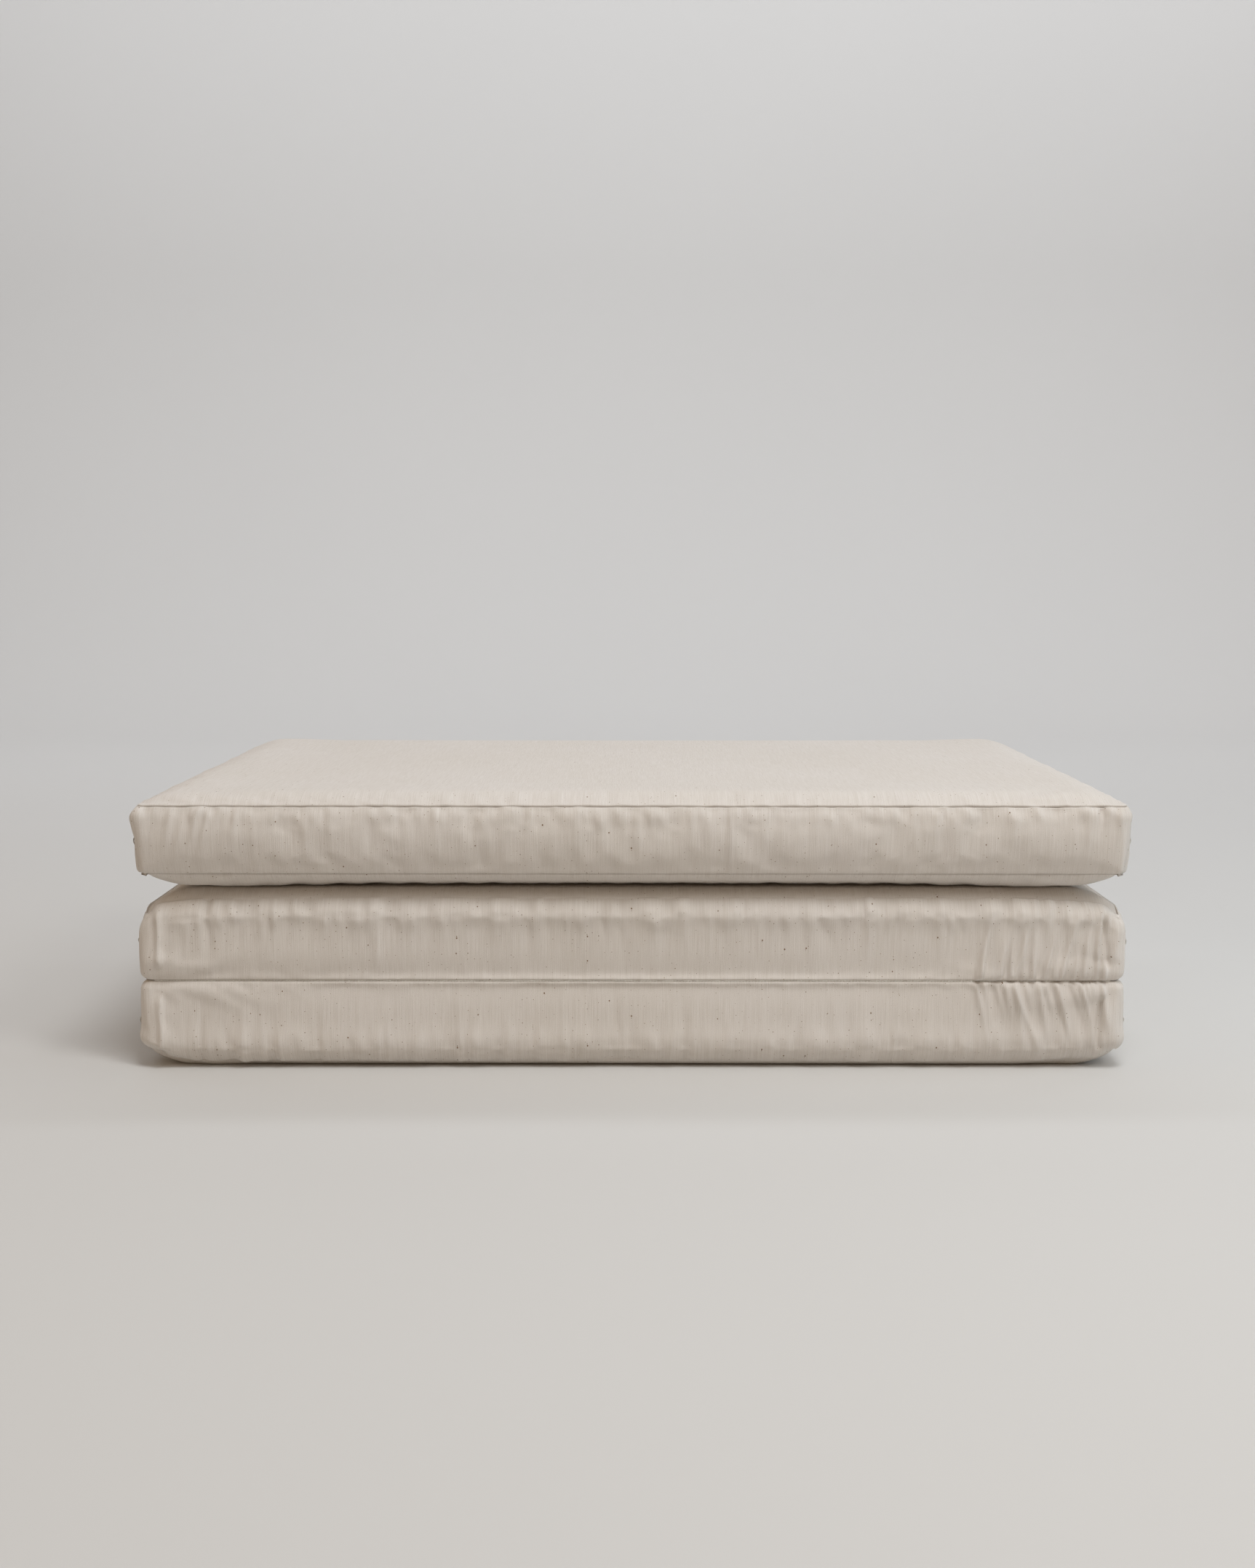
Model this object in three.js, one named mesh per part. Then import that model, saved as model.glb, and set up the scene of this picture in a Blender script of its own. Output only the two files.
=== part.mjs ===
// Three-panel futon mattress, folded in a Z into a stack of three slabs.
// Millimetres. +X runs along the width, -Y is the front, +Z is up, and it stands on z = 0.
// Each panel is a sewn cotton casing round two layers of batting and a firm core pad.
// Neighbouring panels are sewn together on two hinge lines, one at the front and one at the back.
import * as THREE from 'three';
import { mergeVertices } from 'three/addons/utils/BufferGeometryUtils.js';

// ---- driving dimensions ----
const WIDTH = 990;            // across the ends, over the tack knots
const MIDDLE_DEPTH = 627;     // from hinge line to hinge line
const OVERHANG = 12;          // how far the top's front and the bottom's back pass the hinge lines
const BOTTOM_LOFT = 91;       // settled thickness of each panel in the stack
const MIDDLE_LOFT = 93;
const TOP_LOFT = 98;
const SHOULDER = 21;          // radius where a cloth wraps round an edge towards its hinge
const CROWN_MARGIN = 45;      // how far in from a boxing seam a face keeps rising
const BOTTOM_UNDER_FALL = 14; // how far a face falls from its flat middle to its boxing seam
const BOTTOM_OVER_FALL = 10;
const MIDDLE_UNDER_FALL = 10;
const MIDDLE_OVER_FALL = 20;
const TOP_UNDER_FALL = 19;
const TOP_OVER_FALL = 10;
const CLOTH = 1.2;            // casing cloth
const EASE = 4;               // slack between the casing and its filling
const GAP = 0.3;              // clearance between neighbouring solids
const CORE_THICKNESS = 20;
const CORE_INSET = 12;        // the core pad is cut this much smaller than the batting
const CORE_CORNER = 25;       // corner radius of the core pad
const BATTING_RIM = 1.5;      // the thinnest that a batting layer's edge may be
const KNOT_PROUD = 2;         // how far a tack's knot stands off the end band
const KNOT_RADIUS = 4;
const SHANK_RADIUS = 0.9;     // twine through the band
const HOLE_RADIUS = 1.5;      // the twine's hole in the band
const STOP_RADIUS = 3;        // knot on the inside of the band
const STOP_THICKNESS = 1.6;
const TACK_INSET = 24;        // from a panel's front or back edge to its outer tacks
const STITCH_RADIUS = 0.6;    // hinge thread
const HINGE_STRIP = 6;        // level seam allowance beside a hinge line

// ---- places worked out from them ----
const HALF_WIDTH = WIDTH / 2 - KNOT_PROUD;
const FRONT_HINGE = -MIDDLE_DEPTH / 2;
const BACK_HINGE = MIDDLE_DEPTH / 2;
const FRONT_HINGE_HEIGHT = BOTTOM_LOFT;
const BACK_HINGE_HEIGHT = BOTTOM_LOFT + MIDDLE_LOFT;
const TOTAL_HEIGHT = BACK_HINGE_HEIGHT + TOP_LOFT;

const FRONT = -1;
const BACK = 1;
const UNDER = -1;
const OVER = 1;
const RAMP_STEPS = [0, 0.11, 0.25, 0.45, 0.7, 1];
const ARC_STEPS = 4;

// ---- materials ----
const cotton = { color: 0xd9d0c2, roughness: 0.92, metalness: 0 };
const battingWool = { color: 0xf0ece2, roughness: 1, metalness: 0 };
const corePad = { color: 0xe4dcc8, roughness: 0.95, metalness: 0 };
const twine = { color: 0xcdbf9f, roughness: 0.85, metalness: 0 };
const thread = { color: 0xc9bda6, roughness: 0.8, metalness: 0 };

const futon = new THREE.Group();

function add(name, geometry, look) {
  const mesh = new THREE.Mesh(geometry, new THREE.MeshStandardMaterial(look));
  mesh.name = name;
  futon.add(mesh);
  return mesh;
}

// ---- the three panels ----
// A face's front and back edges are each a boxing seam, a wrap that goes on to a hinge, or the
// hinge itself. A wrap ends just short of the cloth that runs straight into the same hinge.
const panels = [
  {
    name: 'bottom',
    front: FRONT_HINGE + GAP,
    back: BACK_HINGE + OVERHANG,
    under: { height: 0, fall: BOTTOM_UNDER_FALL, front: 'wrap', back: 'seam' },
    over: { height: FRONT_HINGE_HEIGHT - GAP, fall: BOTTOM_OVER_FALL, front: 'hinge', back: 'seam' },
  },
  {
    name: 'middle',
    front: FRONT_HINGE + GAP,
    back: BACK_HINGE - GAP,
    under: { height: FRONT_HINGE_HEIGHT + GAP, fall: MIDDLE_UNDER_FALL, front: 'hinge', back: 'wrap' },
    over: { height: BACK_HINGE_HEIGHT - GAP, fall: MIDDLE_OVER_FALL, front: 'wrap', back: 'hinge' },
  },
  {
    name: 'top',
    front: FRONT_HINGE - OVERHANG,
    back: BACK_HINGE - GAP,
    under: { height: BACK_HINGE_HEIGHT + GAP, fall: TOP_UNDER_FALL, front: 'seam', back: 'hinge' },
    over: { height: TOTAL_HEIGHT, fall: TOP_OVER_FALL, front: 'seam', back: 'wrap' },
  },
];

for (const panel of panels) {
  Object.assign(panel.under, { side: UNDER, panel });
  Object.assign(panel.over, { side: OVER, panel });
}

function edgeOf(face, end) {
  return end === FRONT ? face.panel.front : face.panel.back;
}

function edgeKind(face, end) {
  return end === FRONT ? face.front : face.back;
}

// 1 at an edge, steep at first and easing down to 0 at the crown margin.
function ramp(distance) {
  const left = Math.max(0, 1 - Math.max(0, distance) / CROWN_MARGIN);
  return left ** 3;
}

// Height of a face: flat in the middle, falling to its boxing seams, level along its hinge line.
function faceHeight(face, x, y) {
  let flat = 1 - ramp(HALF_WIDTH - Math.abs(x));
  let fade = 1;
  for (const end of [FRONT, BACK]) {
    const distance = Math.abs(edgeOf(face, end) - y);
    if (edgeKind(face, end) === 'seam') flat *= 1 - ramp(distance);
    if (edgeKind(face, end) === 'hinge') fade *= 1 - ramp(distance - HINGE_STRIP);
  }
  return face.height - face.side * face.fall * (1 - flat) * fade;
}

// ---- grids ----
function inOrder(places, low, high) {
  const inside = places.map((place) => Math.min(high, Math.max(low, place)));
  return [...new Set(inside)].sort((a, b) => a - b);
}

// Columns across the width, closer together where the face falls to the end seams.
function columnsTo(end) {
  const places = RAMP_STEPS.flatMap((step) => [step * CROWN_MARGIN - HALF_WIDTH, HALF_WIDTH - step * CROWN_MARGIN]);
  return inOrder([-end, end, ...places], -end, end);
}

// Rows between low and high, closer together where the face falls to a seam or rises to a hinge.
function rowsOn(face, low, high, extra = []) {
  const places = [low, high, ...extra];
  for (const end of [FRONT, BACK]) {
    const kind = edgeKind(face, end);
    const start = edgeOf(face, end) - end * (kind === 'hinge' ? HINGE_STRIP : 0);
    const steps = kind === 'wrap' ? [] : RAMP_STEPS;
    places.push(...steps.map((step) => start - end * step * CROWN_MARGIN));
  }
  return inOrder(places, low, high);
}

// A closed sheet over columns in x and rows in y. place(column, row, over) gives each corner.
function gridSolid(columns, rows, place) {
  const box = new THREE.BoxGeometry(1, 1, 1, columns.length - 1, rows.length - 1, 1);
  box.deleteAttribute('normal');
  box.deleteAttribute('uv');
  const solid = mergeVertices(box);
  const corner = solid.attributes.position;
  for (let i = 0; i < corner.count; i += 1) {
    const column = columns[Math.round((corner.getX(i) + 0.5) * (columns.length - 1))];
    const row = rows[Math.round((corner.getY(i) + 0.5) * (rows.length - 1))];
    corner.setXYZ(i, ...place(column, row, corner.getZ(i) > 0));
  }
  solid.computeVertexNormals();
  return solid;
}

// ---- casing cloths ----
// A cloth's rows run from front to back. Each row gives the outer point and the way in.
function faceRow(face, y) {
  return (x) => ({ y, z: faceHeight(face, x, y), inY: 0, inZ: -face.side });
}

function shoulderRow(face, end, angle) {
  const centreY = edgeOf(face, end) - end * SHOULDER;
  const outY = end * Math.sin(angle);
  const outZ = face.side * Math.cos(angle);
  return (x) => ({
    y: centreY + SHOULDER * outY,
    z: faceHeight(face, x, centreY) - face.side * SHOULDER + SHOULDER * outZ,
    inY: -outY,
    inZ: -outZ,
  });
}

function wrapEndRow(face, end) {
  const straight = face.side === OVER ? face.panel.under : face.panel.over;
  const z = straight.height + face.side * (CLOTH + GAP);
  return () => ({ y: edgeOf(face, end), z, inY: -end, inZ: 0 });
}

function wrapRows(face, end) {
  const rows = [wrapEndRow(face, end)];
  for (let step = ARC_STEPS; step > 0; step -= 1) {
    rows.push(shoulderRow(face, end, (step / ARC_STEPS) * (Math.PI / 2)));
  }
  return rows;
}

// Where the flat part of a cloth ends: at a shoulder, clear of the hinge thread, or at the seam.
function flatEnd(face, end) {
  const kind = edgeKind(face, end);
  if (kind === 'wrap') return edgeOf(face, end) - end * SHOULDER;
  if (kind === 'hinge') return edgeOf(face, end) - end * (STITCH_RADIUS + GAP);
  return edgeOf(face, end);
}

function casingCloth(face) {
  const rows = rowsOn(face, flatEnd(face, FRONT), flatEnd(face, BACK)).map((y) => faceRow(face, y));
  if (face.front === 'wrap') rows.unshift(...wrapRows(face, FRONT));
  if (face.back === 'wrap') rows.push(...wrapRows(face, BACK).reverse());
  return gridSolid(columnsTo(HALF_WIDTH), rows, (x, row, over) => {
    const at = row(x);
    const depth = over === (face.side === OVER) ? 0 : CLOTH;
    return [x, at.y + depth * at.inY, at.z + depth * at.inZ];
  });
}

// ---- boxing bands ----
// The line that an end band follows under a face, from front to back, a gap inside the cloth.
function bandLine(face) {
  const inset = CLOTH + GAP;
  const low = face.front === 'wrap' ? flatEnd(face, FRONT) : face.panel.front + inset;
  const high = face.back === 'wrap' ? flatEnd(face, BACK) : face.panel.back - inset;
  const rows = rowsOn(face, low, high).map((y) => faceRow(face, y));
  if (face.front === 'wrap') rows.unshift(...wrapRows(face, FRONT).slice(1));
  if (face.back === 'wrap') rows.push(...wrapRows(face, BACK).slice(1).reverse());
  return rows.map((row) => {
    const at = row(HALF_WIDTH);
    return new THREE.Vector2(at.y + inset * at.inY, at.z + inset * at.inZ);
  });
}

function tackPlaces(panel) {
  const middle = (panel.front + panel.back) / 2;
  return [panel.front + TACK_INSET, middle, panel.back - TACK_INSET].map((y) => {
    const low = faceHeight(panel.under, HALF_WIDTH, y);
    const high = faceHeight(panel.over, HALF_WIDTH, y);
    return new THREE.Vector2(y, (low + high) / 2);
  });
}

function endBand(panel) {
  const outline = [...bandLine(panel.under), ...bandLine(panel.over).reverse()];
  const shape = new THREE.Shape(outline);
  for (const place of tackPlaces(panel)) {
    const hole = new THREE.Path();
    hole.absarc(place.x, place.y, HOLE_RADIUS, 0, 2 * Math.PI, true);
    shape.holes.push(hole);
  }
  return new THREE.ExtrudeGeometry(shape, { depth: CLOTH, bevelEnabled: false, curveSegments: 5 });
}

// The band along a free edge is a straight strip between the two seams.
function freeBand(panel) {
  const low = panel.under.height + panel.under.fall + CLOTH + GAP;
  const high = panel.over.height - panel.over.fall - CLOTH - GAP;
  const strip = new THREE.BoxGeometry(2 * HALF_WIDTH, CLOTH, high - low);
  return { strip, middle: (low + high) / 2 };
}

// ---- filling ----
function coreLevels(panel) {
  const lowSeam = panel.under.height + panel.under.fall;
  const highSeam = panel.over.height - panel.over.fall;
  const middle = (lowSeam + highSeam) / 2;
  return { low: middle - CORE_THICKNESS / 2, high: middle + CORE_THICKNESS / 2 };
}

// How far the batting's face drops near an edge that the cloth wraps round.
function shoulderDrop(face, y) {
  const radius = SHOULDER - CLOTH - EASE;
  let drop = 0;
  for (const end of [FRONT, BACK]) {
    const inside = Math.abs(edgeOf(face, end) - y) - CLOTH - EASE;
    const past = Math.max(0, radius - inside);
    if (edgeKind(face, end) === 'wrap') drop += radius - Math.sqrt(Math.max(0, radius ** 2 - past ** 2));
  }
  return drop;
}

function battingFace(face, level, x, y) {
  const edge = faceHeight(face, x, y) - face.side * (CLOTH + EASE + shoulderDrop(face, y));
  const rim = level + face.side * BATTING_RIM;
  return face.side === OVER ? Math.max(edge, rim) : Math.min(edge, rim);
}

function battingRows(face) {
  const inset = CLOTH + EASE;
  const low = face.panel.front + inset;
  const high = face.panel.back - inset;
  const arc = [];
  for (let step = 1; step <= ARC_STEPS; step += 1) {
    const along = (SHOULDER - inset) * (1 - Math.cos((step / ARC_STEPS) * (Math.PI / 2)));
    if (face.front === 'wrap') arc.push(low + along);
    if (face.back === 'wrap') arc.push(high - along);
  }
  return rowsOn(face, low, high, arc);
}

function batting(face, level) {
  const end = HALF_WIDTH - CLOTH - EASE;
  return gridSolid(columnsTo(end), battingRows(face), (x, y, over) => {
    const onFace = over === (face.side === OVER);
    return [x, y, onFace ? battingFace(face, level, x, y) : level];
  });
}

function core(panel) {
  const inset = CLOTH + EASE + CORE_INSET;
  const x = HALF_WIDTH - inset;
  const y = (panel.back - panel.front) / 2 - inset;
  const shape = new THREE.Shape();
  shape.absarc(x - CORE_CORNER, y - CORE_CORNER, CORE_CORNER, 0, Math.PI / 2);
  shape.absarc(-x + CORE_CORNER, y - CORE_CORNER, CORE_CORNER, Math.PI / 2, Math.PI);
  shape.absarc(-x + CORE_CORNER, -y + CORE_CORNER, CORE_CORNER, Math.PI, 1.5 * Math.PI);
  shape.absarc(x - CORE_CORNER, -y + CORE_CORNER, CORE_CORNER, 1.5 * Math.PI, 2 * Math.PI);
  return new THREE.ExtrudeGeometry(shape, { depth: CORE_THICKNESS, bevelEnabled: false, curveSegments: 4 });
}

// ---- tacks and hinge thread ----
// A length of twine knotted on both sides of the end band. Its axis is +Y and y = 0 is the
// band's outer face.
function tack() {
  const inside = -CLOTH - GAP;
  const dome = KNOT_PROUD - GAP;
  const profile = [
    [0, inside - STOP_THICKNESS],
    [STOP_RADIUS, inside - STOP_THICKNESS / 2],
    [SHANK_RADIUS, inside],
    [SHANK_RADIUS, GAP],
    [KNOT_RADIUS, GAP + dome * 0.4],
    [KNOT_RADIUS * 0.75, GAP + dome * 0.85],
    [0, KNOT_PROUD],
  ];
  return new THREE.LatheGeometry(profile.map(([r, y]) => new THREE.Vector2(r, y)), 8);
}

function hingeThread() {
  return new THREE.CylinderGeometry(STITCH_RADIUS, STITCH_RADIUS, 2 * HALF_WIDTH, 8);
}

// ---- assembly ----
for (const panel of panels) {
  const level = coreLevels(panel);
  add(`${panel.name}_casing_under`, casingCloth(panel.under), cotton);
  add(`${panel.name}_casing_over`, casingCloth(panel.over), cotton);
  add(`${panel.name}_batting_under`, batting(panel.under, level.low - GAP), battingWool);
  add(`${panel.name}_batting_over`, batting(panel.over, level.high + GAP), battingWool);
  const pad = add(`${panel.name}_core`, core(panel), corePad);
  pad.position.set(0, (panel.front + panel.back) / 2, level.low);

  for (const [end, side] of [['left', -1], ['right', 1]]) {
    const band = add(`${panel.name}_band_${end}`, endBand(panel), cotton);
    band.rotation.set(Math.PI / 2, 0, Math.PI / 2, 'ZYX');
    band.position.x = side > 0 ? HALF_WIDTH - CLOTH : -HALF_WIDTH;
    tackPlaces(panel).forEach((place, index) => {
      const knot = add(`${panel.name}_tack_${end}_${index + 1}`, tack(), twine);
      knot.rotation.z = -side * Math.PI / 2;
      knot.position.set(side * HALF_WIDTH, place.x, place.y);
    });
  }

  for (const [end, edge] of [['front', FRONT], ['back', BACK]]) {
    if (edgeKind(panel.under, edge) === 'seam') {
      const { strip, middle } = freeBand(panel);
      const band = add(`${panel.name}_band_${end}`, strip, cotton);
      band.position.set(0, edgeOf(panel.under, edge) - edge * CLOTH / 2, middle);
    }
  }
}

for (const [name, y, z] of [
  ['front_hinge_stitching', FRONT_HINGE, FRONT_HINGE_HEIGHT],
  ['back_hinge_stitching', BACK_HINGE, BACK_HINGE_HEIGHT],
]) {
  const line = add(name, hingeThread(), thread);
  line.rotation.z = Math.PI / 2;
  line.position.set(0, y, z);
}

export default futon;
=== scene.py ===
"""A futon mattress in natural cotton, folded in three into a stack of slabs.

Metres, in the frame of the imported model: +X along the width, -Y to the front, +Z up.
"""
import math

import bpy
import numpy as np
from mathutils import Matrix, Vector


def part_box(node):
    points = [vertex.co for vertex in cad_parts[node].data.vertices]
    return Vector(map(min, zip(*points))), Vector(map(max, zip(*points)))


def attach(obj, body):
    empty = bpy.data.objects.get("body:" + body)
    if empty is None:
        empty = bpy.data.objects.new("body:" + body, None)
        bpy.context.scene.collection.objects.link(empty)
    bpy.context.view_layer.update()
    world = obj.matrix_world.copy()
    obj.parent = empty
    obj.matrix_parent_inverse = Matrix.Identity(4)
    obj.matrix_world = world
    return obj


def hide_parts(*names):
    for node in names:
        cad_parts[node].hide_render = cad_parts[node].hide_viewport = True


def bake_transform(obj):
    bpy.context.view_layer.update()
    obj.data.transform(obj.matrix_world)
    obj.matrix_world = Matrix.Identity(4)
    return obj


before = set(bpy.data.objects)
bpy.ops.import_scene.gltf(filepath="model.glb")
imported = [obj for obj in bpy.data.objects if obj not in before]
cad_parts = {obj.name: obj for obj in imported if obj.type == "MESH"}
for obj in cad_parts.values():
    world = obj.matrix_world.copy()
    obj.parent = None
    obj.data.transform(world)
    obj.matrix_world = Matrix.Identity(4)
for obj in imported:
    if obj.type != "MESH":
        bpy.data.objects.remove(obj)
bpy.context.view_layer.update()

# ---------------------------------------------------------------- camera and studio
# A view from half a metre up, square on to the folded front. The studio is one pale seamless
# sheet, floor and wall in one curve, with soft lamps above and to the right, two warm ones at
# the left and low in front, and warm air. Past the sheet's edges the camera sees a pale grey.
CAMERA_HEIGHT = 0.512
CAMERA_DISTANCE = 2.2125
CAMERA_SIDE = 0.003
CAMERA_TILT = math.radians(83.43)
CAMERA_TURN = math.radians(0.22)
CAMERA_LENS = 43.6
PAPER = (0.64, 0.632, 0.615)
WARM_AIR = (1.0, 0.78, 0.60)
AIR_STRENGTH = 0.215
BEYOND_SHEET = (0.58, 0.57, 0.56)


def make_mesh(name, points, faces, smooth=True):
    """An object from an array of corners and an array of faces, all with the same number of sides."""
    faces = np.asarray(faces, dtype=np.int32)
    mesh = bpy.data.meshes.new(name)
    mesh.vertices.add(len(points))
    mesh.vertices.foreach_set("co", np.asarray(points, dtype=np.float32).ravel())
    mesh.loops.add(faces.size)
    mesh.loops.foreach_set("vertex_index", faces.ravel())
    mesh.polygons.add(len(faces))
    mesh.polygons.foreach_set("loop_start", np.arange(len(faces), dtype=np.int32) * faces.shape[1])
    mesh.polygons.foreach_set("use_smooth", np.full(len(faces), smooth))
    mesh.update(calc_edges=True)
    mesh.validate()
    piece = bpy.data.objects.new(name, mesh)
    bpy.context.collection.objects.link(piece)
    return piece


def grid_faces(index):
    """Quads between the neighbours of a two-dimensional array of vertex numbers."""
    corners = (index[:-1, :-1], index[1:, :-1], index[1:, 1:], index[:-1, 1:])
    return np.stack(corners, axis=-1).reshape(-1, 4)


def seamless_sheet():
    """A profile along Y carried across X: a flat floor, a quarter circle, then an upright wall."""
    radius, back, front, half, high = 1.6, 3.4, -6.0, 5.5, 5.0
    turn = np.linspace(0, np.pi / 2, 24)
    y = np.concatenate([[front], back + radius * np.sin(turn), [back + radius]])
    z = np.concatenate([[0.0], radius * (1 - np.cos(turn)), [high]])
    x = np.array([-half, half])
    points = np.stack(np.broadcast_arrays(x[:, None], y[None], z[None]), axis=-1)
    index = np.arange(points[..., 0].size).reshape(points.shape[:2])
    return make_mesh("seamless_sheet", points.reshape(-1, 3), grid_faces(index))


def paper():
    """Matt pale paper with a faint mottling, so that it doesn't band."""
    material = bpy.data.materials.new("studio_paper")
    material.use_nodes = True
    tree = material.node_tree
    shader = tree.nodes["Principled BSDF"]
    shader.inputs["Roughness"].default_value = 0.9
    shader.inputs["Specular IOR Level"].default_value = 0.2
    place = tree.nodes.new("ShaderNodeTexCoord")
    noise = tree.nodes.new("ShaderNodeTexNoise")
    noise.inputs["Scale"].default_value = 0.8
    tint = tree.nodes.new("ShaderNodeValToRGB")
    tint.color_ramp.elements[0].color = (*[c * 0.985 for c in PAPER], 1)
    tint.color_ramp.elements[1].color = (*[c * 1.015 for c in PAPER], 1)
    tree.links.new(place.outputs["Object"], noise.inputs["Vector"])
    tree.links.new(noise.outputs["Fac"], tint.inputs["Fac"])
    tree.links.new(tint.outputs["Color"], shader.inputs["Base Color"])
    return material


def soft_light(name, place, aim, size, watts, colour):
    """A rectangular lamp at place, turned to face aim."""
    lamp = bpy.data.lights.new(name, "AREA")
    lamp.shape = "RECTANGLE"
    lamp.size, lamp.size_y = size
    lamp.energy = watts
    lamp.color = colour
    holder = bpy.data.objects.new(name, lamp)
    holder.location = place
    holder.rotation_euler = (Vector(aim) - Vector(place)).to_track_quat("-Z", "Y").to_euler()
    bpy.context.collection.objects.link(holder)


lens = bpy.data.cameras.new("camera")
lens.lens = CAMERA_LENS
camera = bpy.data.objects.new("camera", lens)
camera.location = (CAMERA_SIDE, -CAMERA_DISTANCE, CAMERA_HEIGHT)
camera.rotation_euler = (CAMERA_TILT, 0.0, CAMERA_TURN)
bpy.context.collection.objects.link(camera)
scene = bpy.context.scene
scene.camera = camera
scene.view_settings.view_transform = "Standard"

sheet = seamless_sheet()
sheet.data.materials.append(paper())
soft_light("top_front", (0.5, -1.5, 3.0), (0.0, -0.2, 0.15), (1.2, 1.0), 45, (0.965, 0.985, 1.0))
soft_light("ceiling", (0.0, -1.0, 5.4), (0.0, -1.0, 0.0), (9.0, 9.0), 40, (0.60, 0.80, 1.0))
soft_light("key", (1.7, -1.9, 2.2), (0.0, -0.2, 0.15), (0.9, 0.9), 17, (1.0, 0.99, 0.97))
soft_light("right_window", (3.0, -0.2, 1.1), (0.0, 0.0, 0.1), (1.4, 1.4), 17, (0.72, 0.88, 1.0))
soft_light("left_fill", (-3.0, -0.8, 1.6), (0.0, 0.0, 0.1), (1.4, 1.4), 7, (1.0, 0.72, 0.42))
soft_light("low_front", (0.0, -3.4, 0.7), (0.0, 0.0, 0.1), (2.4, 0.8), 4, (1.0, 0.70, 0.38))
soft_light("wall_wash", (0.4, 2.2, 4.2), (0.2, 4.6, 1.6), (10.0, 1.6), 190, (0.89, 0.935, 1.0))
world = bpy.data.worlds.new("studio_air")
world.use_nodes = True
air = world.node_tree.nodes["Background"]
air.inputs["Color"].default_value = (*WARM_AIR, 1)
air.inputs["Strength"].default_value = AIR_STRENGTH
beyond = world.node_tree.nodes.new("ShaderNodeBackground")
beyond.inputs["Color"].default_value = (*BEYOND_SHEET, 1)
ray = world.node_tree.nodes.new("ShaderNodeLightPath")
seen = world.node_tree.nodes.new("ShaderNodeMixShader")
link_air = world.node_tree.links.new
link_air(ray.outputs["Is Camera Ray"], seen.inputs["Fac"])
link_air(air.outputs["Background"], seen.inputs[1])
link_air(beyond.outputs["Background"], seen.inputs[2])
link_air(seen.outputs["Shader"], world.node_tree.nodes["World Output"].inputs["Surface"])
scene.world = world

# ---------------------------------------------------------------- cotton filling
# Each slab holds two layers of loose cotton batting round a felted core pad. The layers meet at
# the slab's mid height, thin out to a soft rim, and are hollowed where the core lies.
CROWN_STEEP = (0.80, 0.040)   # share of a face's fall, and how far in from the seam it reaches
CROWN_SLOW = (0.20, 0.190)
BATTING = (0.86, 0.83, 0.77)
CORE_FELT = (0.74, 0.69, 0.58)
BATTING_IN = 0.011        # how far the batting lies inside the cloth
BATTING_RIM = 0.034       # rounding of its rim, seen from above


def panel_of(name, corner, over, under, bulge, lean=0.0):
    """The outer box of a panel's casing from the model, and how each of its long edges is made."""
    low = [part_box(f"{name}_casing_{side}")[0] for side in ("under", "over")]
    high = [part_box(f"{name}_casing_{side}")[1] for side in ("under", "over")]
    return {
        "name": name,
        "corner": corner,
        "half": high[0].x + 0.0045,
        "front": min(p.y for p in low),
        "back": max(p.y for p in high),
        "under": {"level": min(p.z for p in low), **under},
        "over": {"level": max(p.z for p in high), **over},
        "bulge": bulge,
        "lean": lean,
    }


HINGE_LEVEL = (0.006, 0.070)  # level this near a hinge, the whole fall this much further on
PANELS = [
    panel_of("bottom", 0.010,
             {"fall": 0.010, "front": "hinge", "back": "seam"},
             {"fall": 0.014, "front": "shoulder", "back": "seam", "shoulder": 0.022},
             {"front": (0.42, 0.80, 0.0065), "left": (0.30, 0.95, 0.0090),
              "back": (0.35, 0.35, 0.0060), "end": (0.12, 0.12, 0.0060)}),
    panel_of("middle", 0.010,
             {"fall": 0.020, "front": "shoulder", "back": "hinge", "shoulder": 0.028},
             {"fall": 0.010, "front": "hinge", "back": "shoulder"},
             {"front": (0.80, 0.30, 0.0035), "left": (0.35, 0.95, 0.0060),
              "back": (0.30, 0.80, 0.0035), "end": (0.12, 0.12, 0.0060)}),
    panel_of("top", 0.007,
             {"fall": 0.009, "front": "seam", "back": "shoulder"},
             {"fall": 0.017, "front": "seam", "back": "hinge"},
             {"front": (0.10, 0.45, 0.0075), "left": (0.10, 0.45, 0.0075),
              "back": (0.80, 0.30, 0.0040), "end": (0.10, 0.20, 0.0035)},
             lean=0.0070),
]


def ramp(distance, reach, power):
    """1 at distance 0, falling as a power to 0 at reach."""
    return np.clip(1 - np.clip(distance, 0, None) / reach, 0, 1) ** power


def crown(distance):
    """How much of its fall a face still has at a distance from its seam: a steep and a slow part."""
    steep, slow = CROWN_STEEP, CROWN_SLOW
    return steep[0] * ramp(distance, steep[1], 3) + slow[0] * ramp(distance, slow[1], 2)


def face_fall(panel, face, x, from_front, from_back):
    """A face's fall: 1 minus the product of its seams' rises, level beside a hinge."""
    flat = 1 - crown(panel["half"] - np.abs(x))
    level = 1.0
    for kind, distance in ((face["front"], from_front), (face["back"], from_back)):
        if kind == "seam":
            flat = flat * (1 - crown(distance))
        if kind == "hinge":
            level = level * (1 - ramp(distance - HINGE_LEVEL[0], HINGE_LEVEL[1], 3))
    return face["fall"] * (1 - flat) * level


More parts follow.
